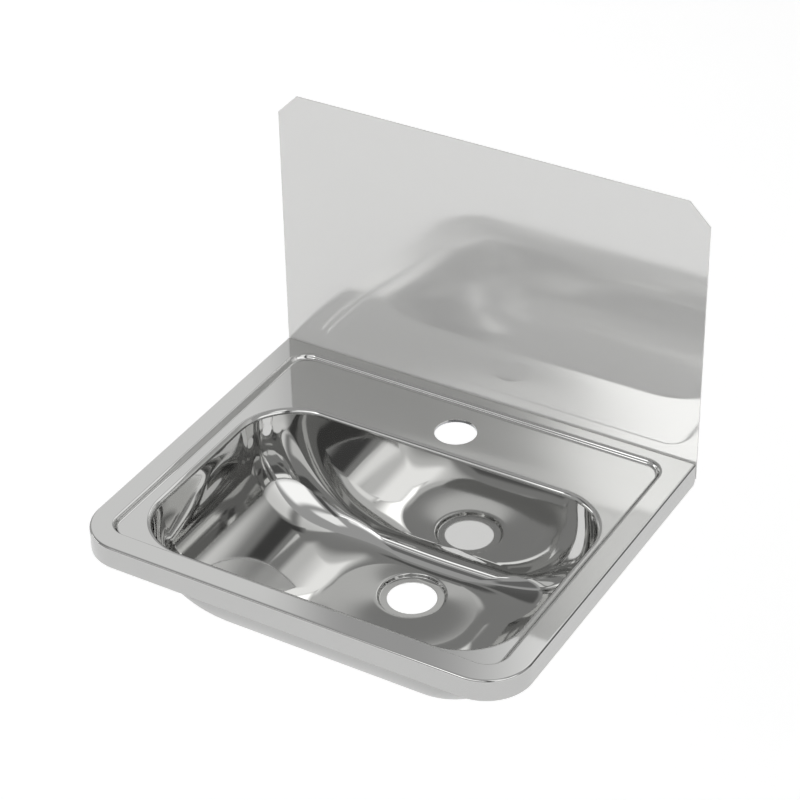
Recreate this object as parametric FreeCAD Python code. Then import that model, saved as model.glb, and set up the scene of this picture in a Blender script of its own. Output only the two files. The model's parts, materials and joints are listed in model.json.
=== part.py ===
"""Wall-hung stainless steel hand wash basin with a splashback, in millimetres.

Frame: +X right, +Y into the wall, +Z up.  The origin lies on the wall plane, on the
centre line, level with the top of the basin's rim.
"""
import FreeCAD
import Part
import math
import os

V = FreeCAD.Vector

# ---- sheet and overall size -------------------------------------------------------------
SHEET = 1.2                # stainless sheet of the basin pressing
SPLASH_SHEET = 1.2         # stainless sheet of the splashback
WIDTH = 400.0              # over the side aprons
DEPTH = 332.0              # wall to front apron
APRON_HEIGHT = 20.0        # folded edge, rim top to lower edge
FOLD_RADIUS = 2.0          # outside radius of the fold between rim and apron
FRONT_CORNER_RADIUS = 40.0 # plan radius of the rim's front corners
APRON_SNIP = 4.0           # corner cut off each side apron at the wall

# ---- raised rim and sunken deck -----------------------------------------------------------
RIM_SIDE = 18.5            # rim width along both sides
RIM_FRONT = 19.3           # rim width along the front
RIM_REAR = 11.5            # rim width in front of the splashback
DECK_DROP = 4.0            # deck below rim
STEP_RUN = 6.0             # plan width of the sloping step, at the sides and the rear
FRONT_STEP_RUN = 4.0       # the same at the front
RECESS_CORNER_RADIUS = 20.0

# ---- bowl -----------------------------------------------------------------------------------
BOWL_SHIFT = 3.0           # the bowl's centre line, to the right of the rim's
SIDE_LEDGE = 4.5           # flat deck between step and bowl, mean of both sides
FRONT_LEDGE = 0.5          # the same at the front
BOWL_SETBACK = 85.2        # wall plane to the bowl's rear wall
BOWL_DEPTH = 120.0         # rim top to floor
LIP_RADIUS = 4.5           # roll from deck into wall
BOWL_CORNER_RADIUS = 51.5  # plan radius at the top of the walls
FLOOR_CORNER_RADIUS = 44.0 # plan radius of the flat floor
FLOOR_LENGTH = 93.5        # flat floor, front to rear
SIDE_CURVE = 104.0         # radius from side walls to floor
REAR_CURVE = 19.0          # radius from rear wall to floor
CURVE_STEPS = 18           # sections along the front curve
LIP_STEPS = 4              # sections along the lip roll

# ---- holes -----------------------------------------------------------------------------------
TAP_HOLE_RADIUS = 18.25
TAP_HOLE_SETBACK = 53.0    # wall plane to tap hole centre
OUTLET_RADIUS = 21.5
OUTLET_SETBACK = 135.5     # wall plane to outlet centre
OUTLET_SEAT_RADIUS = 27.5  # flat seat of the waste's flange
OUTLET_RIM_RADIUS = 30.7   # where the floor turns down into the seat
OUTLET_DROP = 5.0          # seat below floor

# ---- splashback ------------------------------------------------------------------------------
SPLASH_HEIGHT = 246.0      # above the rim
SPLASH_CHAMFER = 19.0      # cut-off top corners
SPLASH_LAP = 16.0          # lower edge, lapped over the rear flange

# ---- stiffener and damping pads --------------------------------------------------------------
STIFFENER_SHEET = 1.5
STIFFENER_WIDTH = 120.0
STIFFENER_LENGTH = 48.0
PAD_THICKNESS = 3.0
REAR_PAD_WIDTH = 180.0
REAR_PAD_HEIGHT = 50.0
REAR_PAD_DROP = 46.0       # rim top to upper edge of the pad
FLOOR_PAD_MARGIN = 7.0     # pad edge inside the flat floor
FLOOR_PAD_CLEARANCE = 3.5  # round the outlet's seat

# ---- wall brackets ---------------------------------------------------------------------------
BRACKET_STEEL = 3.0
BRACKET_BEND = 1.5         # inside radius of the bend
ARM_INSET = 11.0           # outer face of the arm inside the basin's side face
ARM_REACH = 290.0          # wall to tip of the arm
ARM_HEIGHT = 38.0          # rim top to the arm's lower edge at the wall
ARM_TIP_HEIGHT = 11.0      # rim top to the arm's lower edge at the tip
ARM_STRAIGHT = 50.0        # full-height part of the arm from the wall
LEG_GAP = 1.0              # rear flange to the upper edge of the wall leg
LEG_HEIGHT = 76.0          # rim top to the lower edge of the wall leg
WALL_HOLE_RADIUS = 3.5
WALL_HOLE_SPREAD = 300.0   # between the two brackets' holes
WALL_HOLE_DROP = 34.0      # rim top to the upper hole
WALL_HOLE_PITCH = 30.0     # upper to lower hole
LEG_MARGIN = 15.0          # wall hole to inboard edge of the leg
TRIM_TOP = 1.5             # edge strip between arm and rim
TRIM_SIDE = 1.3
TRIM_LEG = 7.0
TRIM_END_GAP = 8.0         # edge strip short of both ends of the arm

# ---- earth bonding point ---------------------------------------------------------------------
TAG_SHEET = 1.5
TAG_WIDTH = 16.0
TAG_REACH = 19.0           # horizontal leg, forward of the flange
TAG_TOP = 5.0              # rim top to upper edge of the tag
TAG_SHELF = 16.5           # rim top to the top of the horizontal leg
TAG_X = -102.0
TAG_HOLE_SETBACK = 11.0    # flange to hole
TAG_HOLE_RADIUS = 2.75
SCREW_RADIUS = 2.5
SCREW_LENGTH = 13.0
SCREW_HEAD_RADIUS = 4.75
SCREW_HEAD_HEIGHT = 3.0
SCREW_SLOT = 1.2
WASHER_RADIUS = 5.0
WASHER_SHEET = 1.0
NUT_FLATS = 8.0
NUT_HEIGHT = 4.0
THREAD_CLEARANCE = 0.05

# ---- derived places --------------------------------------------------------------------------
HALF = WIDTH / 2
FRONT = -DEPTH
DECK_REAR = -SPLASH_SHEET              # the splashback's front face
FLANGE_FACE = DECK_REAR - SHEET        # inner face of the rear flange
RIM_UNDER = -SHEET
DECK = -DECK_DROP
DECK_UNDER = DECK - SHEET
RECESS_HALF = HALF - RIM_SIDE
RECESS_FRONT = FRONT + RIM_FRONT
RECESS_REAR = DECK_REAR - RIM_REAR
WALL_HALF = RECESS_HALF - STEP_RUN - SIDE_LEDGE - LIP_RADIUS
WALL_REAR = -BOWL_SETBACK
WALL_FRONT = RECESS_FRONT + FRONT_STEP_RUN + FRONT_LEDGE + LIP_RADIUS
# the radius from front wall to floor takes what the floor leaves, and starts below the lip
FRONT_CURVE = min(WALL_REAR - REAR_CURVE - FLOOR_LENGTH - WALL_FRONT, BOWL_DEPTH - DECK_DROP - LIP_RADIUS)
FLOOR = -BOWL_DEPTH
OUTLET_Y = -OUTLET_SETBACK
SEAT = FLOOR - OUTLET_DROP
TAP_Y = -TAP_HOLE_SETBACK
MARGIN = 1.0                           # tools reach this far past what they cut
QUARTER = 90                           # a quarter turn, in degrees


def slab(x0, x1, y0, y1, z0, z1):
    return Part.makeBox(x1 - x0, y1 - y0, z1 - z0, V(x0, y0, z0))


def upright(radius, x, y, z0, z1):
    return Part.makeCylinder(radius, z1 - z0, V(x, y, z0))


def arc(centre, radius, start):
    """A quarter circle in plan, from the angle start, in degrees."""
    angles = [math.radians(start + turn) for turn in (0, QUARTER / 2, QUARTER)]
    first, middle, last = [centre + V(radius * math.cos(a), radius * math.sin(a), 0) for a in angles]
    return Part.Arc(first, middle, last).toShape()


def outline(half, front, rear, front_radius, rear_radius, z, middle=0.0):
    """A closed wire in plan: a rectangle about the line x = middle, with round corners."""
    corners = [(1, rear, rear_radius, 0), (-1, rear, rear_radius, QUARTER),
               (-1, front, front_radius, 2 * QUARTER), (1, front, front_radius, 3 * QUARTER)]
    edges = []
    ends = []
    for side, y, radius, start in corners:
        x = middle + side * half
        if radius > 0:
            centre = V(x - side * radius, y + (radius if y == front else -radius), z)
            edge = arc(centre, radius, start)
            edges.append(edge)
            ends.append((edge.Vertexes[0].Point, edge.Vertexes[-1].Point))
        else:
            edges.append(None)
            ends.append((V(x, y, z), V(x, y, z)))
    ring = []
    for index, edge in enumerate(edges):
        if edge is not None:
            ring.append(edge)
        ring.append(Part.makeLine(ends[index][1], ends[(index + 1) % 4][0]))
    return Part.Wire(ring)


def prism(wire, height):
    return Part.Face(wire).extrude(V(0, 0, height))


def stack(wires):
    """A closed solid through outlines that lie one above the other."""
    return Part.makeLoft(wires, True, True)


def round_top_edges(solid, z, radius):
    edges = [e for e in solid.Edges if all(abs(v.Z - z) < 1e-6 for v in e.Vertexes)]
    return solid.makeFillet(radius, edges)


# ---- basin pressing --------------------------------------------------------------------------
def rim_and_apron():
    outside = prism(outline(HALF, FRONT, DECK_REAR, FRONT_CORNER_RADIUS, 0, -APRON_HEIGHT), APRON_HEIGHT)
    inner_wire = outline(HALF - SHEET, FRONT + SHEET, FLANGE_FACE, FRONT_CORNER_RADIUS - SHEET, 0,
                         -APRON_HEIGHT - MARGIN)
    inside = prism(inner_wire, APRON_HEIGHT + MARGIN - SHEET)
    outside = round_top_edges(outside, 0, FOLD_RADIUS)
    inside = round_top_edges(inside, RIM_UNDER, FOLD_RADIUS - SHEET)
    return outside.cut(inside)


def step_inset(run, share, skin):
    """How far in the step has come, a share of the way down, on the face that lies skin below it."""
    return run * share - skin * math.tan(math.atan2(DECK_DROP, run) / 2)


def recess_outline(share, z, skin=0.0):
    side = step_inset(STEP_RUN, share, skin)
    front = step_inset(FRONT_STEP_RUN, share, skin)
    radius = RECESS_CORNER_RADIUS - side
    return outline(RECESS_HALF - side, RECESS_FRONT + front, RECESS_REAR - side, radius, radius, z)


def recess_tool():
    top = prism(recess_outline(0, 0), MARGIN)
    return top.fuse(stack([recess_outline(0, 0), recess_outline(1, DECK)]))


def recess_body():
    collar = prism(recess_outline(0, RIM_UNDER, SHEET), SHEET)
    slope = stack([recess_outline(0, RIM_UNDER, SHEET), recess_outline(1, DECK_UNDER, SHEET)])
    return collar.fuse(slope)


def curve_inset(depth, floor_depth, radius):
    """How far a wall that is upright at the top has turned in at a depth below the rim."""
    below = depth - (floor_depth - radius)
    if below <= 0:
        return 0.0
    return radius - math.sqrt(max(radius * radius - below * below, 0.0))


def bowl_outline(depth, skin):
    """The bowl's plan outline at a depth; skin is the distance outside the inner face."""
    floor_depth = BOWL_DEPTH + skin
    side = WALL_HALF + skin - curve_inset(depth, floor_depth, SIDE_CURVE + skin)
    front = WALL_FRONT - skin + curve_inset(depth, floor_depth, FRONT_CURVE + skin)
    rear = WALL_REAR + skin - curve_inset(depth, floor_depth, REAR_CURVE + skin)
    share = depth / floor_depth
    radius = skin + BOWL_CORNER_RADIUS + (FLOOR_CORNER_RADIUS - BOWL_CORNER_RADIUS) * share
    return outline(side, front, rear, radius, radius, -depth, BOWL_SHIFT)


def lip_outline(turn, skin):
    """The roll between deck and wall: turn 0 lies in the deck, turn 90 on the wall."""
    angle = math.radians(turn)
    out = LIP_RADIUS - (LIP_RADIUS - skin) * math.sin(angle)
    z = DECK - LIP_RADIUS + (LIP_RADIUS - skin) * math.cos(angle)
    share = -z / BOWL_DEPTH
    radius = BOWL_CORNER_RADIUS + (FLOOR_CORNER_RADIUS - BOWL_CORNER_RADIUS) * share + out
    return outline(WALL_HALF + out, WALL_FRONT - out, WALL_REAR + out, radius, radius, z, BOWL_SHIFT)


def bowl_solid(skin):
    """The bowl's hollow for skin 0, and its outside for skin equal to the sheet."""
    lip = [lip_outline(QUARTER * step / LIP_STEPS, skin) for step in range(LIP_STEPS + 1)]
    cap = prism(lip[0], SHEET / 2)
    floor_depth = BOWL_DEPTH + skin
    radius = FRONT_CURVE + skin
    wall = []
    for step in range(1, CURVE_STEPS + 1):
        angle = math.radians(QUARTER * step / CURVE_STEPS)
        wall.append(bowl_outline(floor_depth - radius + radius * math.sin(angle), skin))
    return stack(lip + wall).fuse(cap)


def outlet_body():
    grown = SHEET * math.tan(math.atan2(OUTLET_DROP, OUTLET_RIM_RADIUS - OUTLET_SEAT_RADIUS) / 2)
    return Part.makeCone(OUTLET_SEAT_RADIUS + grown, OUTLET_RIM_RADIUS + grown, OUTLET_DROP + SHEET / 2,
                         V(BOWL_SHIFT, OUTLET_Y, SEAT - SHEET))


def outlet_tool():
    cone = Part.makeCone(OUTLET_SEAT_RADIUS, OUTLET_RIM_RADIUS, OUTLET_DROP, V(BOWL_SHIFT, OUTLET_Y, SEAT))
    hole = upright(OUTLET_RADIUS, BOWL_SHIFT, OUTLET_Y, SEAT - SHEET - MARGIN, FLOOR)
    return cone.fuse(hole)


def tap_hole():
    return upright(TAP_HOLE_RADIUS, 0, TAP_Y, DECK_UNDER - STIFFENER_SHEET - MARGIN, DECK + MARGIN)


def apron_snips():
    """The lower corners cut off the aprons beside the wall."""
    low = -APRON_HEIGHT
    points = [V(-HALF - MARGIN, DECK_REAR, low + APRON_SNIP), V(-HALF - MARGIN, DECK_REAR, low),
              V(-HALF - MARGIN, DECK_REAR - APRON_SNIP, low)]
    face = Part.Face(Part.makePolygon(points + points[:1]))
    return face.extrude(V(WIDTH + 2 * MARGIN, 0, 0))


def basin_pressing():
    shell = rim_and_apron().fuse(recess_body()).cut(recess_tool())
    shell = shell.fuse(bowl_solid(SHEET)).fuse(outlet_body())
    shell = shell.cut(bowl_solid(0.0)).cut(outlet_tool())
    return shell.cut(tap_hole()).cut(apron_snips())


# ---- splashback ------------------------------------------------------------------------------
def splashback_panel():
    cut = SPLASH_CHAMFER
    corners = [(-HALF, -SPLASH_LAP), (HALF, -SPLASH_LAP), (HALF, SPLASH_HEIGHT - cut),
               (HALF - cut, SPLASH_HEIGHT), (-HALF + cut, SPLASH_HEIGHT), (-HALF, SPLASH_HEIGHT - cut)]
    points = [V(x, -SPLASH_SHEET, z) for x, z in corners]
    return Part.Face(Part.makePolygon(points + points[:1])).extrude(V(0, SPLASH_SHEET, 0))


# ---- stiffener and damping pads --------------------------------------------------------------
def tap_ledge_stiffener():
    plate = slab(-STIFFENER_WIDTH / 2, STIFFENER_WIDTH / 2, TAP_Y - STIFFENER_LENGTH / 2,
                 TAP_Y + STIFFENER_LENGTH / 2, DECK_UNDER - STIFFENER_SHEET, DECK_UNDER)
    return plate.cut(tap_hole())


def rear_damping_pad():
    face = WALL_REAR + SHEET
    return slab(BOWL_SHIFT - REAR_PAD_WIDTH / 2, BOWL_SHIFT + REAR_PAD_WIDTH / 2, face, face + PAD_THICKNESS,
                -REAR_PAD_DROP - REAR_PAD_HEIGHT, -REAR_PAD_DROP)


def floor_damping_pad():
    """A pad under the flat floor, cut round behind and beside the outlet."""
    under = FLOOR - SHEET
    half = WALL_HALF - SIDE_CURVE - FLOOR_PAD_MARGIN
    front = WALL_FRONT + FRONT_CURVE + FLOOR_PAD_MARGIN / 2
    rear = WALL_REAR - REAR_CURVE - FLOOR_PAD_MARGIN
    pad = slab(BOWL_SHIFT - half, BOWL_SHIFT + half, front, rear, under - PAD_THICKNESS, under)
    clear = OUTLET_RIM_RADIUS + SHEET + FLOOR_PAD_CLEARANCE
    low = under - PAD_THICKNESS - MARGIN
    hole = upright(clear, BOWL_SHIFT, OUTLET_Y, low, under + MARGIN)
    relief = slab(BOWL_SHIFT - clear, BOWL_SHIFT + clear, OUTLET_Y, rear + MARGIN, low, under + MARGIN)
    return pad.cut(hole).cut(relief)


# ---- wall brackets ---------------------------------------------------------------------------
def arm_faces():
    outer = HALF - ARM_INSET
    return outer - BRACKET_STEEL, outer


def arm_top():
    return RIM_UNDER - TRIM_TOP


def leg_top():
    return -APRON_HEIGHT - LEG_GAP


def arm_rear():
    """Where the bend ends and the straight arm begins, forward of the basin's rear flange."""
    return -BRACKET_STEEL - BRACKET_BEND


def bracket_arm():
    """The upright web under the rim; the basin's rear flange drops in behind it."""
    profile = [(arm_rear(), arm_top()), (-ARM_REACH, arm_top()), (-ARM_REACH, -ARM_TIP_HEIGHT),
               (-ARM_STRAIGHT, -ARM_HEIGHT), (arm_rear(), -ARM_HEIGHT)]
    inner, outer = arm_faces()
    points = [V(inner, y, z) for y, z in profile]
    return Part.Face(Part.makePolygon(points + points[:1])).extrude(V(outer - inner, 0, 0))


def bracket_bend():
    """A quarter turn of the strip, below the rear flange."""
    inner, outer = arm_faces()
    x = inner - BRACKET_BEND
    height = ARM_HEIGHT + leg_top()
    base = V(x, arm_rear(), -ARM_HEIGHT)
    turn = Part.makeCylinder(BRACKET_BEND + BRACKET_STEEL, height, base, V(0, 0, 1), QUARTER)
    return turn.cut(Part.makeCylinder(BRACKET_BEND, height, base, V(0, 0, 1), QUARTER))


def bracket_leg():
    """The leg against the wall, turned inboard, with two screw holes one above the other."""
    hole_x = WALL_HOLE_SPREAD / 2
    inboard = hole_x - LEG_MARGIN
    outboard = hole_x + LEG_MARGIN
    bend_x = arm_faces()[0] - BRACKET_BEND
    profile = [(inboard, leg_top()), (bend_x, leg_top()), (bend_x, -ARM_HEIGHT),
               (outboard, -LEG_HEIGHT + LEG_MARGIN), (outboard, -LEG_HEIGHT), (inboard, -LEG_HEIGHT)]
    points = [V(x, -BRACKET_STEEL, z) for x, z in profile]
    leg = Part.Face(Part.makePolygon(points + points[:1])).extrude(V(0, BRACKET_STEEL, 0))
    for drop in (WALL_HOLE_DROP, WALL_HOLE_DROP + WALL_HOLE_PITCH):
        hole = Part.makeCylinder(WALL_HOLE_RADIUS, BRACKET_STEEL + 2 * MARGIN,
                                 V(hole_x, -BRACKET_STEEL - MARGIN, -drop), V(0, 1, 0))
        leg = leg.cut(hole)
    return leg


def wall_bracket():
    return bracket_arm().fuse(bracket_bend()).fuse(bracket_leg()).removeSplitter()


def arm_trim():
    """The edge strip that the rim rests on."""
    inner, outer = arm_faces()
    rear = arm_rear() - TRIM_END_GAP
    front = -ARM_REACH + TRIM_END_GAP
    strip = slab(inner - TRIM_SIDE, outer + TRIM_SIDE, front, rear, RIM_UNDER - TRIM_LEG, RIM_UNDER)
    groove = slab(inner, outer, front - MARGIN, rear + MARGIN, RIM_UNDER - TRIM_LEG - MARGIN, arm_top())
    return strip.cut(groove)


def mirrored(solid):
    return solid.mirror(V(0, 0, 0), V(1, 0, 0))


# ---- earth bonding point ---------------------------------------------------------------------
def tag_hole_y():
    return FLANGE_FACE - TAG_HOLE_SETBACK


def earth_tag():
    x0 = TAG_X - TAG_WIDTH / 2
    x1 = TAG_X + TAG_WIDTH / 2
    under = -TAG_SHELF - TAG_SHEET
    leg = slab(x0, x1, FLANGE_FACE - TAG_SHEET, FLANGE_FACE, under, -TAG_TOP)
    shelf = slab(x0, x1, FLANGE_FACE - TAG_REACH, FLANGE_FACE, under, -TAG_SHELF)
    hole = upright(TAG_HOLE_RADIUS, TAG_X, tag_hole_y(), under - MARGIN, -TAG_SHELF + MARGIN)
    return leg.fuse(shelf).removeSplitter().cut(hole)


def washer(z):
    y = tag_hole_y()
    disc = upright(WASHER_RADIUS, TAG_X, y, z, z + WASHER_SHEET)
    return disc.cut(upright(TAG_HOLE_RADIUS, TAG_X, y, z - MARGIN, z + WASHER_SHEET + MARGIN))


def earth_washers():
    under = -TAG_SHELF - TAG_SHEET - WASHER_SHEET
    return Part.makeCompound([washer(under), washer(-TAG_SHELF)])


def earth_screw():
    y = tag_hole_y()
    seat = -TAG_SHELF - TAG_SHEET - WASHER_SHEET
    head = upright(SCREW_HEAD_RADIUS, TAG_X, y, seat - SCREW_HEAD_HEIGHT, seat)
    head = head.makeFillet(SCREW_HEAD_HEIGHT / 3, [e for e in head.Edges if e.CenterOfMass.z < seat - 1
                                                   and e.Closed])
    slot = slab(TAG_X - SCREW_HEAD_RADIUS - MARGIN, TAG_X + SCREW_HEAD_RADIUS + MARGIN, y - SCREW_SLOT / 2,
                y + SCREW_SLOT / 2, seat - SCREW_HEAD_HEIGHT - MARGIN, seat - SCREW_HEAD_HEIGHT / 2)
    return head.cut(slot).fuse(upright(SCREW_RADIUS, TAG_X, y, seat, seat + SCREW_LENGTH)).removeSplitter()


def earth_nut():
    y = tag_hole_y()
    seat = -TAG_SHELF + WASHER_SHEET
    reach = NUT_FLATS / math.sqrt(3)
    angles = [math.radians(60 * k) for k in range(6)]
    points = [V(TAG_X + reach * math.cos(a), y + reach * math.sin(a), seat) for a in angles]
    nut = Part.Face(Part.makePolygon(points + points[:1])).extrude(V(0, 0, NUT_HEIGHT))
    top = seat + NUT_HEIGHT + MARGIN
    return nut.cut(upright(SCREW_RADIUS + THREAD_CLEARANCE, TAG_X, y, seat - MARGIN, top))


def build():
    bracket = wall_bracket()
    trim = arm_trim()
    nodes = {
        "basin_pressing": basin_pressing(),
        "splashback_panel": splashback_panel(),
        "tap_ledge_stiffener": tap_ledge_stiffener(),
        "rear_damping_pad": rear_damping_pad(),
        "floor_damping_pad": floor_damping_pad(),
        "wall_bracket_right": bracket,
        "wall_bracket_left": mirrored(bracket),
        "arm_trim_right": trim,
        "arm_trim_left": mirrored(trim),
        "earth_tag": earth_tag(),
        "earth_washers": earth_washers(),
        "earth_screw": earth_screw(),
        "earth_nut": earth_nut(),
    }
    os.makedirs("parts", exist_ok=True)
    for name, shape in nodes.items():
        shape.exportStep("parts/" + name + ".step")
        print(name, "solids", len(shape.Solids), "valid", shape.isValid(), "volume", round(shape.Volume, 1))


build()
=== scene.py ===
"""Looks of a wall-hung stainless steel hand wash basin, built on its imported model."""
import json
import math

import bmesh
import bpy
from mathutils import Matrix, Vector
from mathutils.geometry import delaunay_2d_cdt


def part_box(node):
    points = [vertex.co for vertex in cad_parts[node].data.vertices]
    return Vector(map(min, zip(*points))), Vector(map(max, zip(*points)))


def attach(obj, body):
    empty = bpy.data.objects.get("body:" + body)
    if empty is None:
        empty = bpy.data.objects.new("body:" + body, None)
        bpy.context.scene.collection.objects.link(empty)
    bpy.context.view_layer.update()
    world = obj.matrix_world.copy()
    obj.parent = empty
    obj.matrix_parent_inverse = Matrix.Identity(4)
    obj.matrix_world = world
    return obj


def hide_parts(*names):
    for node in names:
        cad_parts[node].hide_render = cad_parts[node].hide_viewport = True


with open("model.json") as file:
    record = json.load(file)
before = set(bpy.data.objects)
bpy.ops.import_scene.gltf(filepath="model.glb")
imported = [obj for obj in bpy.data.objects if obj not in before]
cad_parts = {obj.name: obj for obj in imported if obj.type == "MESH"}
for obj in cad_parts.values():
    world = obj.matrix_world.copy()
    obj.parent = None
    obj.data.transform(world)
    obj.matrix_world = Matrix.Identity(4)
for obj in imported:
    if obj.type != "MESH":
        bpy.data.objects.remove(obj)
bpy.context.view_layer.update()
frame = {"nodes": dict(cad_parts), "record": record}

MM = 0.001
WELD = 1e-6                    # distance at which points are one, in metres
QUARTER = 90                   # a quarter turn, in degrees

# ---- sizes of the pressing, in millimetres -------------------------------------------------------
SHEET = 1.2
APRON_HEIGHT = 20.0            # rim top to the apron's lower edge
APRON_SNIP = 4.0               # corner cut off each side apron at the wall
FOLD_RADIUS = 2.0              # outside radius of the fold between rim and apron
FRONT_CORNER_RADIUS = 40.0
REAR_CORNER_RADIUS = 2.2       # above FOLD_RADIUS, so that the fold can turn round it
RIM_SIDE = 18.5                # rim width along both sides
RIM_FRONT = 19.3
RIM_REAR = 11.5
DECK_DROP = 4.0                # deck below rim
STEP_RUN = 6.0                 # plan width of the step from rim to deck, at the sides and the rear
STEP_BENDS = (3.7, 2.7)        # radii of its upper and lower bends
FRONT_STEP_RUN = 4.0           # the same two at the front
FRONT_STEP_BENDS = (1.6, 1.0)
RECESS_CORNER_RADIUS = 20.0    # plan radius at the top of the step
SIDE_LEDGE = 4.5               # flat deck between step and bowl, mean of both sides
FRONT_LEDGE = 0.5              # the same at the front
BOWL_SETBACK = 85.2            # wall plane to the bowl's rear wall
BOWL_DEPTH = 120.0             # rim top to floor
FLOOR_LENGTH = 93.5            # floor between its front and rear curves
LIP_RADIUS = 4.5               # roll from deck into wall
BOWL_CORNER_RADIUS = 51.5      # plan radius of the walls at the height of the rim
FLOOR_CORNER_RADIUS = 44.0     # plan radius of the walls at the floor
SIDE_CURVE = 104.0             # radius from side walls to floor
REAR_CURVE = 19.0              # radius from rear wall to floor
TAP_HOLE_RADIUS = 18.25
OUTLET_RADIUS = 21.5
OUTLET_SEAT_RADIUS = 27.5      # flat seat of the waste's flange
OUTLET_RIM_RADIUS = 30.7       # where the floor turns down to the seat
OUTLET_DROP = 5.0              # seat below the edge of the floor
OUTLET_BENDS = (1.6, 1.0)      # radii of the rolls from the floor down and into the seat
DISH_DROP = 1.8                # how far the floor falls towards the outlet
DISH_REACH = 125.0             # plan distance from the outlet at which the floor begins to fall
DISH_TOP = -92.0               # height above which the walls take no part in the fall
EDGE_ROUND = 0.35              # radius along both sides of the sheet's cut edges

# ---- places that the frame gives -----------------------------------------------------------------
low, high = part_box("basin_pressing")
mounts = {mount["name"]: mount for mount in frame["record"]["mounts"]}
HALF = high.x / MM
FRONT = low.y / MM
DECK_REAR = high.y / MM
TAP_Y = mounts["tap_hole"]["pos_m"][1] / MM
OUTLET_X, OUTLET_Y = [v / MM for v in mounts["waste_outlet"]["pos_m"][:2]]

RECESS_HALF = HALF - RIM_SIDE
RECESS_FRONT = FRONT + RIM_FRONT
RECESS_REAR = DECK_REAR - RIM_REAR
WALL_HALF = RECESS_HALF - STEP_RUN - SIDE_LEDGE - LIP_RADIUS
WALL_FRONT = RECESS_FRONT + FRONT_STEP_RUN + FRONT_LEDGE + LIP_RADIUS
WALL_REAR = -BOWL_SETBACK
FRONT_CURVE = WALL_REAR - REAR_CURVE - FLOOR_LENGTH - WALL_FRONT
DECK = -DECK_DROP
FLOOR = -BOWL_DEPTH
SEAT = FLOOR - OUTLET_DROP
OUTLET_RUN = OUTLET_RIM_RADIUS - OUTLET_SEAT_RADIUS

# ---- fineness of the meshes ----------------------------------------------------------------------
SPANS_ACROSS = 56              # along the front and the rear
SPANS_DEEP = 36                # along each side
SPANS_CORNER = 32              # round each corner in plan
SPANS_BEND = 6                 # across each bend of the fold and the steps
SPANS_LIP = 10                 # across the lip
SPANS_WALL = 60                # down the walls
SPANS_HOLE = 96                # round the tap hole
SPANS_EDGE = 3                 # across each rounding of a cut edge
SPANS_FLOOR = 12               # from the floor's edge to the outlet
STEP_BACK = 1e-4               # how far back a slope is taken, in a section's own parameter
SLOPE_STEP = 0.01              # how far off the slope of the dish is taken, in millimetres


# ---- rings: lists of (x, y, z, angle of the outward direction in plan) ---------------------------
def side_shares(index):
    """Where a ring's points lie along a straight side; the deep sides have one at the apron's snip."""
    if index % 2 == 0:
        return [k / SPANS_ACROSS for k in range(SPANS_ACROSS)]
    straight = DECK_REAR - REAR_CORNER_RADIUS - FRONT - FRONT_CORNER_RADIUS
    snip = (APRON_SNIP - REAR_CORNER_RADIUS) / straight
    even = [k / SPANS_DEEP for k in range(1, SPANS_DEEP)]
    return [0, snip] + even if index == 1 else [0] + even + [1 - snip]


def rounded_ring(half, front, rear, front_radius, rear_radius, z, middle=0.0):
    """A rectangle about the line x = middle with round corners, from the rear right corner round."""
    corners = [(middle + half - rear_radius, rear - rear_radius, rear_radius),
               (middle + rear_radius - half, rear - rear_radius, rear_radius),
               (middle + front_radius - half, front + front_radius, front_radius),
               (middle + half - front_radius, front + front_radius, front_radius)]
    ring = []
    for index, (x, y, radius) in enumerate(corners):
        for k in range(SPANS_CORNER):
            a = math.pi / 2 * (index + k / SPANS_CORNER)
            ring.append((x + radius * math.cos(a), y + radius * math.sin(a), z, a))
        a = math.pi / 2 * (index + 1)
        c, s = math.cos(a), math.sin(a)
        next_x, next_y, next_radius = corners[(index + 1) % 4]
        x0, y0 = x + radius * c, y + radius * s
        x1, y1 = next_x + next_radius * c, next_y + next_radius * s
        for share in side_shares(index):
            ring.append((x0 + (x1 - x0) * share, y0 + (y1 - y0) * share, z, a))
    return ring


def circle(radius, y, z):
    """A ring round a point on the rim's centre line."""
    angles = [2 * math.pi * k / SPANS_HOLE for k in range(SPANS_HOLE)]
    return [(radius * math.cos(a), y + radius * math.sin(a), z, a) for a in angles]


def rim_ring(out, z):
    """A ring parallel to the rim's outer edge."""
    return rounded_ring(HALF + out, FRONT - out, DECK_REAR + out, FRONT_CORNER_RADIUS + out,
                        REAR_CORNER_RADIUS + out, z)


def apron_ring(out, above):
    """A ring above the apron's lower edge, which rises where its corners beside the wall are cut off."""
    snip_start = DECK_REAR - APRON_SNIP
    return [(x, y, z + max(0, y - snip_start), a) for x, y, z, a in rim_ring(out, above - APRON_HEIGHT)]


def fold_ring(turn):
    """A section of the fold: 0 lies on the apron, 90 on the rim."""
    a = math.radians(turn)
    return rim_ring(FOLD_RADIUS * (math.cos(a) - 1), FOLD_RADIUS * (math.sin(a) - 1))


def slope_angle(run, drop, bends):
    """The steepest slope of a step made of two bends with a straight between them."""
    excess = sum(bends) - drop
    return math.asin(sum(bends) / math.hypot(run, excess)) - math.atan2(excess, run)


def upper_bend(run, drop, bends, share):
    """How far in and how high a point lies on the bend at the top of a step."""
    a = slope_angle(run, drop, bends) * share
    return bends[0] * math.sin(a), bends[0] * (math.cos(a) - 1)


def lower_bend(run, drop, bends, share):
    """The same on the bend at its foot."""
    a = slope_angle(run, drop, bends) * (1 - share)
    return run - bends[1] * math.sin(a), bends[1] * (1 - math.cos(a)) - drop


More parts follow.
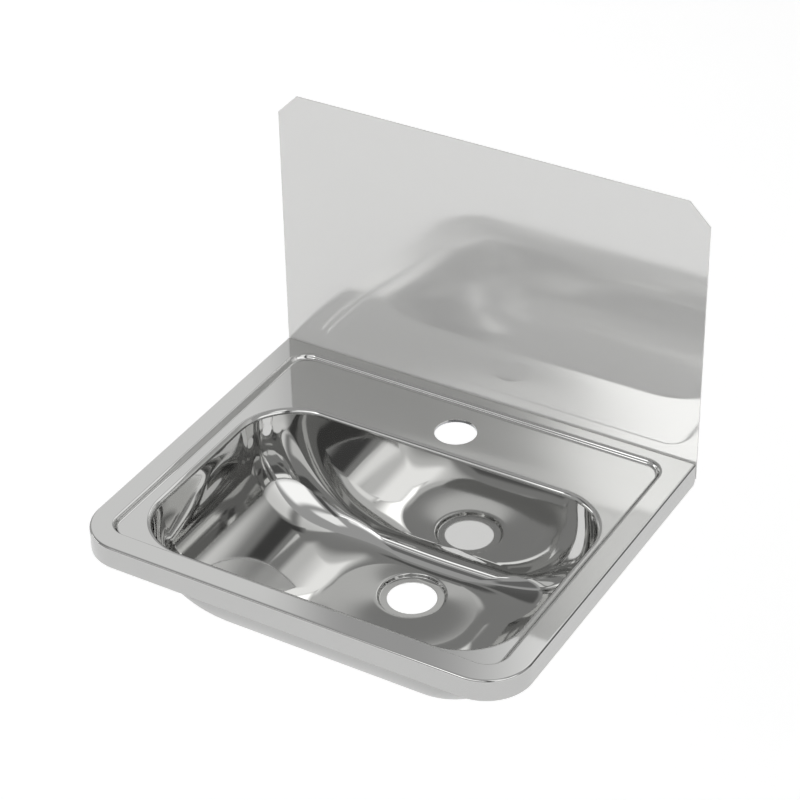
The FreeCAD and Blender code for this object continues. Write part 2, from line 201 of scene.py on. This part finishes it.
def step_ring(bend, share):
    """A section of the step, whose profile at the front differs from that elsewhere."""
    inset, height = bend(STEP_RUN, DECK_DROP, STEP_BENDS, share)
    front_inset, front_height = bend(FRONT_STEP_RUN, DECK_DROP, FRONT_STEP_BENDS, share)
    radius = RECESS_CORNER_RADIUS - inset
    ring = rounded_ring(RECESS_HALF - inset, RECESS_FRONT + front_inset, RECESS_REAR - inset,
                        radius, radius, height)
    return [(x, y, z + (front_height - height) * min(math.sin(a), 0) ** 2, a) for x, y, z, a in ring]


def wall_corner_radius(z):
    """The walls' corner radius in plan, which changes evenly from rim to floor."""
    return BOWL_CORNER_RADIUS + (FLOOR_CORNER_RADIUS - BOWL_CORNER_RADIUS) * -z / BOWL_DEPTH


def lip_ring(turn):
    """A section of the lip: 0 lies on the deck, 90 on the wall."""
    a = math.radians(turn)
    out = LIP_RADIUS * (1 - math.sin(a))
    z = DECK + LIP_RADIUS * (math.cos(a) - 1)
    radius = wall_corner_radius(z) + out
    return rounded_ring(WALL_HALF + out, WALL_FRONT - out, WALL_REAR + out, radius, radius, z, OUTLET_X)


def curve_inset(depth, radius):
    """How far a wall has turned in at a depth below the rim."""
    below = max(depth - BOWL_DEPTH + radius, 0.0)
    return radius - math.sqrt(max(radius * radius - below * below, 0.0))


def wall_ring(turn):
    """A section of the bowl, by how far the front curve has turned: 90 lies on the floor."""
    depth = BOWL_DEPTH - FRONT_CURVE * (1 - math.sin(math.radians(turn)))
    radius = wall_corner_radius(-depth)
    return rounded_ring(WALL_HALF - curve_inset(depth, SIDE_CURVE),
                        WALL_FRONT + curve_inset(depth, FRONT_CURVE),
                        WALL_REAR - curve_inset(depth, REAR_CURVE), radius, radius, -depth, OUTLET_X)


def outlet_circle(radius, z):
    """A ring round the outlet whose points face those of the floor's edge."""
    ring = []
    for x, y, _, _ in wall_ring(QUARTER):
        a = math.atan2(y - OUTLET_Y, x - OUTLET_X)
        ring.append((OUTLET_X + radius * math.cos(a), OUTLET_Y + radius * math.sin(a), z, a))
    return ring


def floor_ring(share):
    """Between the floor's edge and the roll round the outlet, before the floor is dished."""
    ring = []
    for (x0, y0, _, _), (x1, y1, _, a) in zip(wall_ring(QUARTER), outlet_circle(OUTLET_RIM_RADIUS, FLOOR)):
        ring.append((x0 + (x1 - x0) * share, y0 + (y1 - y0) * share, FLOOR, a))
    return ring


def outlet_ring(bend, share):
    """A section of the step from the floor down to the outlet's seat."""
    inset, height = bend(OUTLET_RUN, OUTLET_DROP - DISH_DROP, OUTLET_BENDS, share)
    return outlet_circle(OUTLET_RIM_RADIUS - inset, FLOOR - DISH_DROP + height)


# ---- stations: a ring's points, the normal at each, and the finish there -------------------------
# Faces of the brushed apron get a colour darkened with painted shade.
# Faces of the unpolished back get a colour darkened with painted shade.
POLISHED, UNPOLISHED_SHADED, BRUSHED_SHADED = range(3)


def station(place, at, finish=POLISHED):
    """The section place(at), with normals square to the surface that such sections sweep."""
    points = []
    normals = []
    for here, behind in zip(place(at), place(at - STEP_BACK)):
        dx, dy, dz = [h - b for h, b in zip(here[:3], behind[:3])]
        c, s = math.cos(here[3]), math.sin(here[3])
        normal = (c * dz, s * dz, -s * dy - c * dx)
        length = math.sqrt(sum(n * n for n in normal))
        points.append(here[:3])
        normals.append(tuple(n / length for n in normal))
    return points, normals, finish


def hem(ring_at, face, edge, finish=POLISHED):
    """Stations round the sheet's cut edge, from the shown face to the back. ring_at(through, back)
    gives the ring so far into the sheet and back from the edge; face(a) and edge(a) are directions."""
    stations = []
    for flat, first in ((0, 0), (SHEET - 2 * EDGE_ROUND, QUARTER)):
        for turn in along(first, first + QUARTER, SPANS_EDGE):
            c, s = math.cos(math.radians(turn)), math.sin(math.radians(turn))
            ring = ring_at(EDGE_ROUND * (1 - c) + flat, EDGE_ROUND * (1 - s))
            normals = []
            for point in ring:
                normals.append(tuple(c * f + s * e for f, e in zip(face(point[3]), edge(point[3]))))
            stations.append(([point[:3] for point in ring], normals, finish))
    return stations


def fall(x, y, z):
    """How far the dished floor lies below a flat one, easing out up the walls."""
    away = (math.hypot(x - OUTLET_X, y - OUTLET_Y) - OUTLET_RIM_RADIUS) / (DISH_REACH - OUTLET_RIM_RADIUS)
    away = min(max(away, 0), 1)
    return DISH_DROP * (1 - away) ** 2 * ease((DISH_TOP - z) / (DISH_TOP - FLOOR))


def dished(stations):
    """Stations lowered by fall(), with their normals turned to match."""
    lowered = []
    for points, normals, finish in stations:
        moved = []
        turned = []
        for (x, y, z), (nx, ny, nz) in zip(points, normals):
            drop = fall(x, y, z)
            slope_x = (fall(x + SLOPE_STEP, y, z) - drop) / SLOPE_STEP
            slope_y = (fall(x, y + SLOPE_STEP, z) - drop) / SLOPE_STEP
            stretch = 1 - (fall(x, y, z + SLOPE_STEP) - drop) / SLOPE_STEP
            normal = (nx + slope_x * nz / stretch, ny + slope_y * nz / stretch, nz / stretch)
            length = math.sqrt(sum(n * n for n in normal))
            moved.append((x, y, z - drop))
            turned.append(tuple(n / length for n in normal))
        lowered.append((moved, turned, finish))
    return lowered


def level(ring):
    """A ring in a level face, as a station."""
    return [point[:3] for point in ring], [(0, 0, 1)] * len(ring), POLISHED


def ease(share):
    """From 0 to 1 with a soft start and end."""
    share = min(max(share, 0), 1)
    return share * share * (3 - 2 * share)


def apron_hem():
    """The hem along the apron's lower edge."""
    # The apron's finish holds painted shade in its darker colour.
    return hem(lambda through, back: apron_ring(-through, back),
               lambda a: (math.cos(a), math.sin(a), 0), lambda a: (0, 0, -1), BRUSHED_SHADED)


def hole_hem(ring_at):
    """The hem round a hole in a level face."""
    return hem(ring_at, lambda a: (0, 0, 1), lambda a: (-math.cos(a), -math.sin(a), 0))


def underside(stations):
    """The same stations on the sheet's back, in the order in which the surface runs on."""
    turned = []
    for points, normals, _ in reversed(stations):
        moved = []
        for point, normal in zip(points, normals):
            moved.append(tuple(p - n * SHEET for p, n in zip(point, normal)))
        # The back's material holds painted shade in its darker colour.
        turned.append((moved, [tuple(-n for n in normal) for normal in normals], UNPOLISHED_SHADED))
    return turned


def along(first, last, count):
    """Both ends and the even steps between them."""
    return [first + (last - first) * k / count for k in range(count + 1)]


# ---- objects -------------------------------------------------------------------------------------
def add_object(name, data):
    piece = bpy.data.objects.new(name, data)
    bpy.context.scene.collection.objects.link(piece)
    return piece


def smooth_mesh(name, verts, faces):
    mesh = bpy.data.meshes.new(name)
    mesh.from_pydata(verts, [], faces)
    mesh.polygons.foreach_set("use_smooth", [True] * len(mesh.polygons))
    return mesh


# ---- skin: faces with a normal of their own at each corner ---------------------------------------
PLAN_WELD = 1e-6               # distance at which points of a plan are one, in millimetres
FILL_INSIDE = 1                # kind of filling: all that the outline holds, its holes too


class Skin:
    """A mesh in the making. Its finishes are the material index of each face."""

    def __init__(self):
        self.verts = []
        self.faces = []
        self.normals = []
        self.finishes = []

    def ring(self, points):
        """Adds points, and returns their indices."""
        first = len(self.verts)
        self.verts += [tuple(v * MM for v in point) for point in points]
        return list(range(first, first + len(points)))

    def run(self, stations):
        """Joins stations in order, and returns the first and the last as (indices, points)."""
        rings = [(self.ring(points), points, normals, finish) for points, normals, finish in stations]
        for (a, _, na, finish_a), (b, _, nb, finish_b) in zip(rings, rings[1:]):
            self.finishes += [finish_a if finish_a == finish_b else POLISHED] * len(a)
            for k in range(len(a)):
                n = (k + 1) % len(a)
                self.faces.append((a[k], a[n], b[n], b[k]))
                self.normals += [na[k], na[n], nb[n], nb[k]]
        return rings[0][:2], rings[-1][:2]

    def flat(self, outline, holes, up):
        """Fills the flat between an outline and its holes with triangles."""
        plan = []
        indices = []
        edges = []
        for ids, points in [outline] + holes:
            first = len(plan)
            plan += [Vector(point[:2]) for point in points]
            indices += ids
            edges += [(first + k, first + (k + 1) % len(ids)) for k in range(len(ids))]
        _, _, faces, sources, _, _ = delaunay_2d_cdt(plan, edges, [], FILL_INSIDE, PLAN_WELD)
        hole_plans = [[Vector(point[:2]) for point in points] for _, points in holes]
        for face in faces:
            corners = [sources[index][0] for index in face]
            middle = sum((plan[c] for c in corners), Vector((0, 0))) / len(corners)
            if any(inside(middle, hole) for hole in hole_plans):
                continue
            if signed_area([plan[c] for c in corners]) * up < 0:
                corners.reverse()
            self.faces.append(tuple(indices[c] for c in corners))
            # The down face gets the back's material, whose darker colour is painted shade.
            self.finishes.append(POLISHED if up > 0 else UNPOLISHED_SHADED)
            self.normals += [(0, 0, up)] * len(corners)

    def build(self, name):
        """The mesh as an object, with a normal at each corner of its faces."""
        mesh = smooth_mesh(name, self.verts, self.faces)
        mesh.polygons.foreach_set("material_index", self.finishes)
        mesh.normals_split_custom_set(self.normals)
        return add_object(name, mesh)


def signed_area(points):
    return sum(p.x * q.y - q.x * p.y for p, q in zip(points, points[1:] + points[:1])) / 2


def inside(point, outline):
    """Whether a point lies inside an outline, by how many edges lie to its right."""
    crossings = 0
    for p, q in zip(outline, outline[1:] + outline[:1]):
        if (p.y > point.y) != (q.y > point.y):
            crossings += p.x + (point.y - p.y) * (q.x - p.x) / (q.y - p.y) > point.x
    return crossings % 2 == 1


# ---- the pressing --------------------------------------------------------------------------------
def basin_pressing():
    """One closed skin: both faces of the sheet, joined round the apron and through both holes."""
    # The apron's top gets the brushed finish, whose darker colour is painted shade.
    rim = [station(lambda z: rim_ring(0, z), -FOLD_RADIUS, BRUSHED_SHADED)]
    rim += [station(fold_ring, turn) for turn in along(0, QUARTER, SPANS_BEND)[1:]]
    across = along(0, 1, SPANS_BEND)
    for bend in (upper_bend, lower_bend):
        rim += [station(lambda share: step_ring(bend, share), at) for at in across]
    wall_start = math.degrees(math.asin(1 - (BOWL_DEPTH - DECK_DROP - LIP_RADIUS) / FRONT_CURVE))
    bowl = [station(lip_ring, turn) for turn in along(0, QUARTER, SPANS_LIP)]
    bowl += [station(wall_ring, turn) for turn in along(wall_start, QUARTER, SPANS_WALL)[1:]]
    bowl = dished(bowl + [level(floor_ring(share)) for share in along(0, 1, SPANS_FLOOR)[1:]])
    bowl += [station(lambda share: outlet_ring(upper_bend, share), at) for at in across[1:]]
    bowl += [station(lambda share: outlet_ring(lower_bend, share), at) for at in across]
    outlet_hem = hole_hem(lambda through, back: outlet_circle(OUTLET_RADIUS + back, SEAT - through))
    tap_hem = hole_hem(lambda through, back: circle(TAP_HOLE_RADIUS + back, TAP_Y, DECK - through))

    skin = Skin()
    deck_under, deck_edge = skin.run(underside(rim) + apron_hem()[::-1] + rim)
    bowl_edge, bowl_under = skin.run(bowl + outlet_hem + underside(bowl))
    tap_edge, tap_under = skin.run(tap_hem)
    skin.flat(deck_edge, [bowl_edge, tap_edge], 1)
    skin.flat(deck_under, [bowl_under, tap_under], -1)
    return skin.build("basin_skin")


# ---- materials -----------------------------------------------------------------------------------
STEEL_COLOUR = (0.57, 0.57, 0.562)
# The back's colour is darker than the polished face's. This is painted shade for the shadowed floor that
# the underside mirrors, on top of its rougher unpolished finish.
BACK_COLOUR_WITH_SHADE = (0.38, 0.38, 0.375)
# The apron's colour is darker than the polished face's. This is painted shade on the upright apron, on top
# of its rougher brushed finish.
BRUSHED_COLOUR_WITH_SHADE = (0.49, 0.49, 0.485)
SATIN_COLOUR = (0.85, 0.85, 0.84)
ZINC_COLOUR = (0.60, 0.61, 0.63)
RUBBER_COLOUR = (0.045, 0.045, 0.048)
STRIP_COLOUR = (0.10, 0.10, 0.11)
SHEET_SPREAD = 0.93            # anisotropy of a loose sheet's grain, from 0 to 1
LEAN_HEIGHTS = (0.02, 0.11)    # between these heights the thin sheet bows from its foot's lean
LEAN_SLOPES = (-0.024, 0.044)  # to the one higher up
PATCH_NOISE = (14, 3)          # noises, as (scale per metre, detail)
WAVE_NOISE = (9, 1)
GRAIN_NOISE = (900, 2)
GRAIN_STRETCH = (1, 0.06, 1)
SHADE_NOISE = (60, 3)
COAT_NOISE = (700, 2)
SHADE_LOW = 0.86               # darkest patches of a plain finish, as a share of its colour


def new_material(name):
    """A material, its node tree and its shader."""
    material = bpy.data.materials.new(name)
    material.use_nodes = True
    tree = material.node_tree
    return material, tree, tree.nodes["Principled BSDF"]


def add_node(tree, kind, values=None, **settings):
    """A node with its settings, and with values at its inputs."""
    node = tree.nodes.new(kind)
    for key, value in settings.items():
        setattr(node, key, value)
    for key, value in (values or {}).items():
        node.inputs[key].default_value = value
    return node


def object_noise(tree, scale, detail, stretch=(1, 1, 1)):
    """Noise in the object's own metres, stretched along an axis where a stretch is below 1."""
    place = add_node(tree, "ShaderNodeTexCoord")
    mapping = add_node(tree, "ShaderNodeMapping", {"Scale": stretch})
    noise = add_node(tree, "ShaderNodeTexNoise", {"Scale": scale, "Detail": detail})
    tree.links.new(place.outputs["Object"], mapping.inputs["Vector"])
    tree.links.new(mapping.outputs["Vector"], noise.inputs["Vector"])
    return noise


def spread(tree, source, low_value, high_value):
    """A noise brought to a range of values."""
    reach = add_node(tree, "ShaderNodeMapRange", {"To Min": low_value, "To Max": high_value})
    tree.links.new(source.outputs["Fac"], reach.inputs["Value"])
    return reach


def leaning_normal(tree):
    """The face's normal on a sheet that bows back a little, as a thin loose one does."""
    place = add_node(tree, "ShaderNodeTexCoord")
    parts = add_node(tree, "ShaderNodeSeparateXYZ")
    low_value, high_value = LEAN_SLOPES
    lean = add_node(tree, "ShaderNodeMapRange", {"From Min": LEAN_HEIGHTS[0], "From Max": LEAN_HEIGHTS[1],
                                                 "To Min": low_value, "To Max": high_value},
                    interpolation_type="SMOOTHSTEP")
    upward = add_node(tree, "ShaderNodeCombineXYZ")
    face = add_node(tree, "ShaderNodeNewGeometry")
    total = add_node(tree, "ShaderNodeVectorMath", operation="ADD")
    unit = add_node(tree, "ShaderNodeVectorMath", operation="NORMALIZE")
    tree.links.new(place.outputs["Object"], parts.inputs[0])
    tree.links.new(parts.outputs["Z"], lean.inputs["Value"])
    tree.links.new(lean.outputs["Result"], upward.inputs["Z"])
    tree.links.new(face.outputs["Normal"], total.inputs[0])
    tree.links.new(upward.outputs[0], total.inputs[1])
    tree.links.new(total.outputs[0], unit.inputs[0])
    return unit


def stainless(name, colour, metallic, roughness, wave, scratch, sheet=False):
    """Stainless sheet: roughness (low, high), a slow waviness and a fine grain, in metres.
    A loose sheet leans, and its upright grain spreads what it mirrors sideways."""
    material, tree, shader = new_material(name)
    shader.inputs["Base Color"].default_value = (*colour, 1)
    shader.inputs["Metallic"].default_value = metallic
    patches = object_noise(tree, *PATCH_NOISE)
    tree.links.new(spread(tree, patches, *roughness).outputs["Result"], shader.inputs["Roughness"])
    slow = object_noise(tree, *WAVE_NOISE)
    fine = object_noise(tree, *GRAIN_NOISE, GRAIN_STRETCH)
    slow_bump = add_node(tree, "ShaderNodeBump", {"Strength": 1, "Distance": wave})
    fine_bump = add_node(tree, "ShaderNodeBump", {"Strength": 1, "Distance": scratch})
    tree.links.new(slow.outputs["Fac"], slow_bump.inputs["Height"])
    tree.links.new(fine.outputs["Fac"], fine_bump.inputs["Height"])
    tree.links.new(slow_bump.outputs["Normal"], fine_bump.inputs["Normal"])
    tree.links.new(fine_bump.outputs["Normal"], shader.inputs["Normal"])
    if sheet:
        across = add_node(tree, "ShaderNodeCombineXYZ", {"X": 1})
        shader.inputs["Anisotropic"].default_value = SHEET_SPREAD
        tree.links.new(across.outputs[0], shader.inputs["Tangent"])
        tree.links.new(leaning_normal(tree).outputs[0], slow_bump.inputs["Normal"])
    return material


def plain(name, colour, metallic, roughness, grain):
    """A finish with faint patches and a fine grain, whose height is in metres."""
    material, tree, shader = new_material(name)
    shader.inputs["Metallic"].default_value = metallic
    shade = object_noise(tree, *SHADE_NOISE)
    ramp = add_node(tree, "ShaderNodeMixRGB")
    ramp.inputs["Color1"].default_value = (*[c * SHADE_LOW for c in colour], 1)
    ramp.inputs["Color2"].default_value = (*colour, 1)
    tree.links.new(shade.outputs["Fac"], ramp.inputs["Fac"])
    tree.links.new(ramp.outputs["Color"], shader.inputs["Base Color"])
    tree.links.new(spread(tree, shade, *roughness).outputs["Result"], shader.inputs["Roughness"])
    bump = add_node(tree, "ShaderNodeBump", {"Strength": 1, "Distance": grain})
    fine = object_noise(tree, *COAT_NOISE)
    tree.links.new(fine.outputs["Fac"], bump.inputs["Height"])
    tree.links.new(bump.outputs["Normal"], shader.inputs["Normal"])
    return material


polished = stainless("polished_stainless", STEEL_COLOUR, 1, (0.03, 0.06), wave=4e-5, scratch=3e-7)
# The back: rougher than the face, with painted shade in its darker colour.
shaded_back = stainless("unpolished_back_painted_shade", BACK_COLOUR_WITH_SHADE, 1, (0.26, 0.34), wave=4e-5, scratch=2e-6)
# The apron: rougher than the face, with painted shade in its darker colour.
shaded_brushed = stainless("brushed_stainless_painted_shade", BRUSHED_COLOUR_WITH_SHADE, 1, (0.2, 0.28), wave=2e-5, scratch=1e-6)
satin = stainless("satin_stainless", SATIN_COLOUR, 0.3, (0.075, 0.09), wave=8e-5, scratch=4e-7, sheet=True)
zinc = plain("zinc_plate", ZINC_COLOUR, 1, (0.30, 0.45), grain=1e-5)
rubber = plain("damping_rubber", RUBBER_COLOUR, 0, (0.75, 0.9), grain=4e-5)
strip = plain("edge_strip", STRIP_COLOUR, 0, (0.5, 0.6), grain=1e-5)

finishes = {"stainless_polished": polished, "stainless_satin": satin, "zinc_steel": zinc,
            "damping_rubber": rubber, "edge_strip": strip}


# ---- the splashback ------------------------------------------------------------------------------
SPLASH_CHAMFER = 19.0          # top corners cut off
SPLASH_EDGE = 0.3              # rounding of the cut edges


def splash_sheet():
    """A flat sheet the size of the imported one, with its cut edges rounded."""
    near, far = [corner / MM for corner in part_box("splashback_panel")]
    shoulder = far.z - SPLASH_CHAMFER
    plan = [(near.x, near.z), (far.x, near.z), (far.x, shoulder), (far.x - SPLASH_CHAMFER, far.z),
            (near.x + SPLASH_CHAMFER, far.z), (near.x, shoulder)]
    count = len(plan)
    verts = [(x * MM, y * MM, z * MM) for y in (near.y, far.y) for x, z in plan]
    faces = [tuple(range(count)), tuple(reversed(range(count, 2 * count)))]
    faces += [(k, k + count, (k + 1) % count + count, (k + 1) % count) for k in range(count)]
    piece = add_object("splash_sheet", smooth_mesh("splash_sheet", verts, faces))
    bevel = piece.modifiers.new("edge", "BEVEL")
    bevel.width = SPLASH_EDGE * MM
    bevel.segments = SPANS_EDGE
    bevel.harden_normals = True
    return piece


# ---- the pad under the floor ---------------------------------------------------------------------
PAD_GRID = 6.0                 # longest edge of the pad's faces


def floor_pad():
    """The pad as packed, pressed to follow the dished floor."""
    shape = bmesh.new()
    shape.from_mesh(frame["nodes"]["floor_damping_pad"].data)
    bmesh.ops.remove_doubles(shape, verts=shape.verts, dist=WELD)
    long_edges = shape.edges
    while long_edges:
        bmesh.ops.subdivide_edges(shape, edges=long_edges, cuts=1)
        bmesh.ops.triangulate(shape, faces=shape.faces)
        long_edges = [edge for edge in shape.edges if edge.calc_length() > PAD_GRID * MM]
    for vert in shape.verts:
        vert.co.z -= fall(vert.co.x / MM, vert.co.y / MM, FLOOR) * MM
    mesh = bpy.data.meshes.new("floor_pad")
    shape.to_mesh(mesh)
    shape.free()
    return add_object("floor_pad", mesh)


def dress(piece, body, node, material):
    """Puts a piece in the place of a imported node."""
    piece.data.materials.append(material)
    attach(piece, body)
    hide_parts(node)


pressing = basin_pressing()
dress(pressing, "basin", "basin_pressing", polished)
# The back's material, with painted shade in its colour.
pressing.data.materials.append(shaded_back)
# The apron's material, with painted shade in its colour.
pressing.data.materials.append(shaded_brushed)
dress(floor_pad(), "basin", "floor_damping_pad", rubber)
dress(splash_sheet(), "basin", "splashback_panel", satin)

for entry in frame["record"]["subparts"]:
    for material_slot in frame["nodes"][entry["node"]].material_slots:
        material_slot.material = finishes[entry["material_slot"]]


# ---- camera --------------------------------------------------------------------------------------
CAMERA_AZIMUTH = 30.876        # angles in degrees
CAMERA_ELEVATION = 34.584
CAMERA_ROLL = -1.12
CAMERA_DISTANCE = 2.110126     # metres
CAMERA_TARGET = Vector((-0.006134, -0.133823, 0.075645))
CAMERA_LENS = 117.19           # millimetres
SENSOR = 36.0


def direction(azimuth, elevation):
    """Unit vector from the object; azimuth 0 is the front and grows to the right."""
    a, e = math.radians(azimuth), math.radians(elevation)
    return Vector((math.sin(a) * math.cos(e), -math.cos(a) * math.cos(e), math.sin(e)))


def add_camera():
    """The main view's camera, turned a little about its own axis."""
    data = bpy.data.cameras.new("camera")
    data.lens = CAMERA_LENS
    data.sensor_width = SENSOR
    camera = add_object("camera", data)
    back = direction(CAMERA_AZIMUTH, CAMERA_ELEVATION)
    right = (-back).cross(Vector((0, 0, 1))).normalized()
    up = right.cross(-back)
    roll = math.radians(CAMERA_ROLL)
    right, up = right * math.cos(roll) + up * math.sin(roll), up * math.cos(roll) - right * math.sin(roll)
    turn = Matrix((right, up, back)).transposed().to_4x4()
    camera.matrix_world = Matrix.Translation(CAMERA_TARGET + back * CAMERA_DISTANCE) @ turn
    bpy.context.scene.camera = camera


# ---- studio --------------------------------------------------------------------------------------
FLOOR_DROP = 0.75              # floor below the rim, in metres
FLOOR_SIZE = 9.0
FLOOR_WHITE = 0.5              # white added to the floor where it is seen
FLOOR_COLOUR = (0.8, 0.8, 0.8)
FLOOR_ROUGHNESS = 0.9
STUDIO_MIDDLE = Vector((0, -0.18, -0.02))
DOME_RADIUS = 3.6
CARD_RADIUS = 3.2
DOME_GREY = 0.5
SOFTBOX_GLOW = 1.35
FOOT_GLOW = 1.2
CARD_SPAN = 1.0                # degrees between a card's grid lines


def white_switch(tree, shade, strength, output, keep_shade):
    """White to the camera, in mirrors and through openings; plain shade to every other ray."""
    path = add_node(tree, "ShaderNodeLightPath")
    glossy = add_node(tree, "ShaderNodeMath", operation="MAXIMUM")
    seen = add_node(tree, "ShaderNodeMath", operation="MAXIMUM")
    tree.links.new(path.outputs["Is Camera Ray"], glossy.inputs[0])
    tree.links.new(path.outputs["Is Glossy Ray"], glossy.inputs[1])
    tree.links.new(glossy.outputs[0], seen.inputs[0])
    tree.links.new(path.outputs["Is Transmission Ray"], seen.inputs[1])
    kind = "ShaderNodeEmission" if keep_shade else "ShaderNodeBackground"
    white = add_node(tree, kind, {"Color": (1, 1, 1, 1), "Strength": strength})
    lit = white
    if keep_shade:
        lit = add_node(tree, "ShaderNodeAddShader")
        tree.links.new(shade.outputs[0], lit.inputs[0])
        tree.links.new(white.outputs[0], lit.inputs[1])
    mix = add_node(tree, "ShaderNodeMixShader")
    tree.links.new(seen.outputs[0], mix.inputs["Fac"])
    tree.links.new(shade.outputs[0], mix.inputs[1])
    tree.links.new(lit.outputs[0], mix.inputs[2])
    tree.links.new(mix.outputs[0], output.inputs["Surface"])


def studio_world():
    """A world that lights with grey and looks white."""
    world = bpy.data.worlds.new("studio")
    bpy.context.scene.world = world
    world.use_nodes = True
    tree = world.node_tree
    shade = tree.nodes["Background"]
    shade.inputs["Color"].default_value = (DOME_GREY, DOME_GREY, DOME_GREY, 1)
    white_switch(tree, shade, 1, tree.nodes["World Output"], False)


def stage_mesh(name, verts, faces, material):
    """A piece of the studio, which is no part of the object."""
    mesh = smooth_mesh(name, verts, faces)
    mesh.materials.append(material)
    piece = add_object(name, mesh)
    return piece


def studio_floor():
    """A pale floor that looks white and keeps the object's shadow."""
    half = FLOOR_SIZE / 2
    material, tree, shader = new_material("studio_floor")
    shader.inputs["Base Color"].default_value = (*FLOOR_COLOUR, 1)
    shader.inputs["Roughness"].default_value = FLOOR_ROUGHNESS
    white_switch(tree, shader, FLOOR_WHITE, tree.nodes["Material Output"], True)
    verts = [(x, y, -FLOOR_DROP) for x, y in ((-half, -half), (half, -half), (half, half), (-half, half))]
    stage_mesh("studio_floor", verts, [(0, 1, 2, 3)], material)


def glow_material():
    """Light of the strength that a point of the card carries."""
    material = bpy.data.materials.new("studio_card")
    material.use_nodes = True
    tree = material.node_tree
    tree.nodes.clear()
    strength = add_node(tree, "ShaderNodeAttribute", attribute_name="glow")
    light = add_node(tree, "ShaderNodeEmission", {"Color": (1, 1, 1, 1)})
    output = add_node(tree, "ShaderNodeOutputMaterial")
    material.cycles.emission_sampling = "NONE"
    tree.links.new(strength.outputs["Fac"], light.inputs["Strength"])
    tree.links.new(light.outputs[0], output.inputs["Surface"])
    return material


def card(name, azimuths, elevations, glow, fades=(0, 0, 0, 0), radius=CARD_RADIUS, around=DOME_GREY):
    """A curved panel round the basin. Its glow eases to that around it over fades, in degrees,
    at its left, right, lower and upper edges."""
    columns = max(2, round((azimuths[1] - azimuths[0]) / CARD_SPAN))
    rows = max(2, round((elevations[1] - elevations[0]) / CARD_SPAN))
    verts = []
    glows = []
    for e in along(*elevations, rows):
        for a in along(*azimuths, columns):
            verts.append(STUDIO_MIDDLE + direction(a, e) * radius)
            insets = (a - azimuths[0], azimuths[1] - a, e - elevations[0], elevations[1] - e)
            share = 1
            for inset, fade in zip(insets, fades):
                share *= ease(inset / fade) if fade else 1
            glows.append(around + (glow - around) * share)
    faces = []
    for row in range(rows):
        for corner in range(row * (columns + 1), row * (columns + 1) + columns):
            faces.append((corner, corner + 1, corner + columns + 2, corner + columns + 1))
    piece = stage_mesh(name, verts, faces, card_light)
    piece.data.attributes.new("glow", "FLOAT", "POINT").data.foreach_set("value", glows)
    piece.visible_camera = False


add_camera()
studio_world()
studio_floor()
card_light = glow_material()
card("dome", (-180, 180), (-14, 90), DOME_GREY, radius=DOME_RADIUS)
card("front_softbox", (-32, 21), (38.3, 62), SOFTBOX_GLOW, (3, 8, 1, 12))
card("front_softbox_foot", (-27, 29), (26, 38.5), FOOT_GLOW, (0.5, 4, 4, 0))
card("front_softbox_core", (-29.5, 6), (40.5, 51), 2.3, (3, 12, 1, 3), 3.15, around=SOFTBOX_GLOW)
card("front_softbox_corner", (-27, -8), (33.5, 42.5), 3.8, (2.3, 14, 1.2, 0.5), 3.14, around=FOOT_GLOW)
card("front_softbox_skirt", (-40, -24), (25, 31), 2.0, (3, 2, 2, 0.6), 3.16)
card("front_softbox_wing", (-38, -26.5), (37.6, 41.5), 1.2, (3, 0.5, 1, 1), 3.17)
card("front_softbox_band", (-6, 28), (37, 44), 2.0, (4, 6, 2, 2), 3.1, around=SOFTBOX_GLOW)
card("right_softbox", (44, 98), (8, 43), 1.6, (6, 10, 8, 8))
card("right_ceiling", (36, 84), (44, 80), 1.35, (8, 10, 8, 8))
card("left_strip", (-89, -61), (5, 19), 2.2, (2, 2, 2, 2))
card("rear_left_panel", (-147, -123), (-14, 46), 0.95, (4, 4, 0, 6))
card("rear_panel", (150, 210), (34, 62), 1.2, (8, 8, 6, 8))
card("dark_gap", (30.5, 43), (4, 54), 0.12, (3, 3, 4, 8), 3.1)
card("upper_left_flag", (-58, -36), (44, 64), 0.2, (4, 3, 4, 6), 3.1)
card("left_flag", (-92, -61), (21, 58), 0.2, (6, 4, 4, 6))
card("right_flag", (118, 143), (-14, 52), 0.17, (5, 5, 0, 8))

scene = bpy.context.scene
scene.view_settings.view_transform = "Standard"
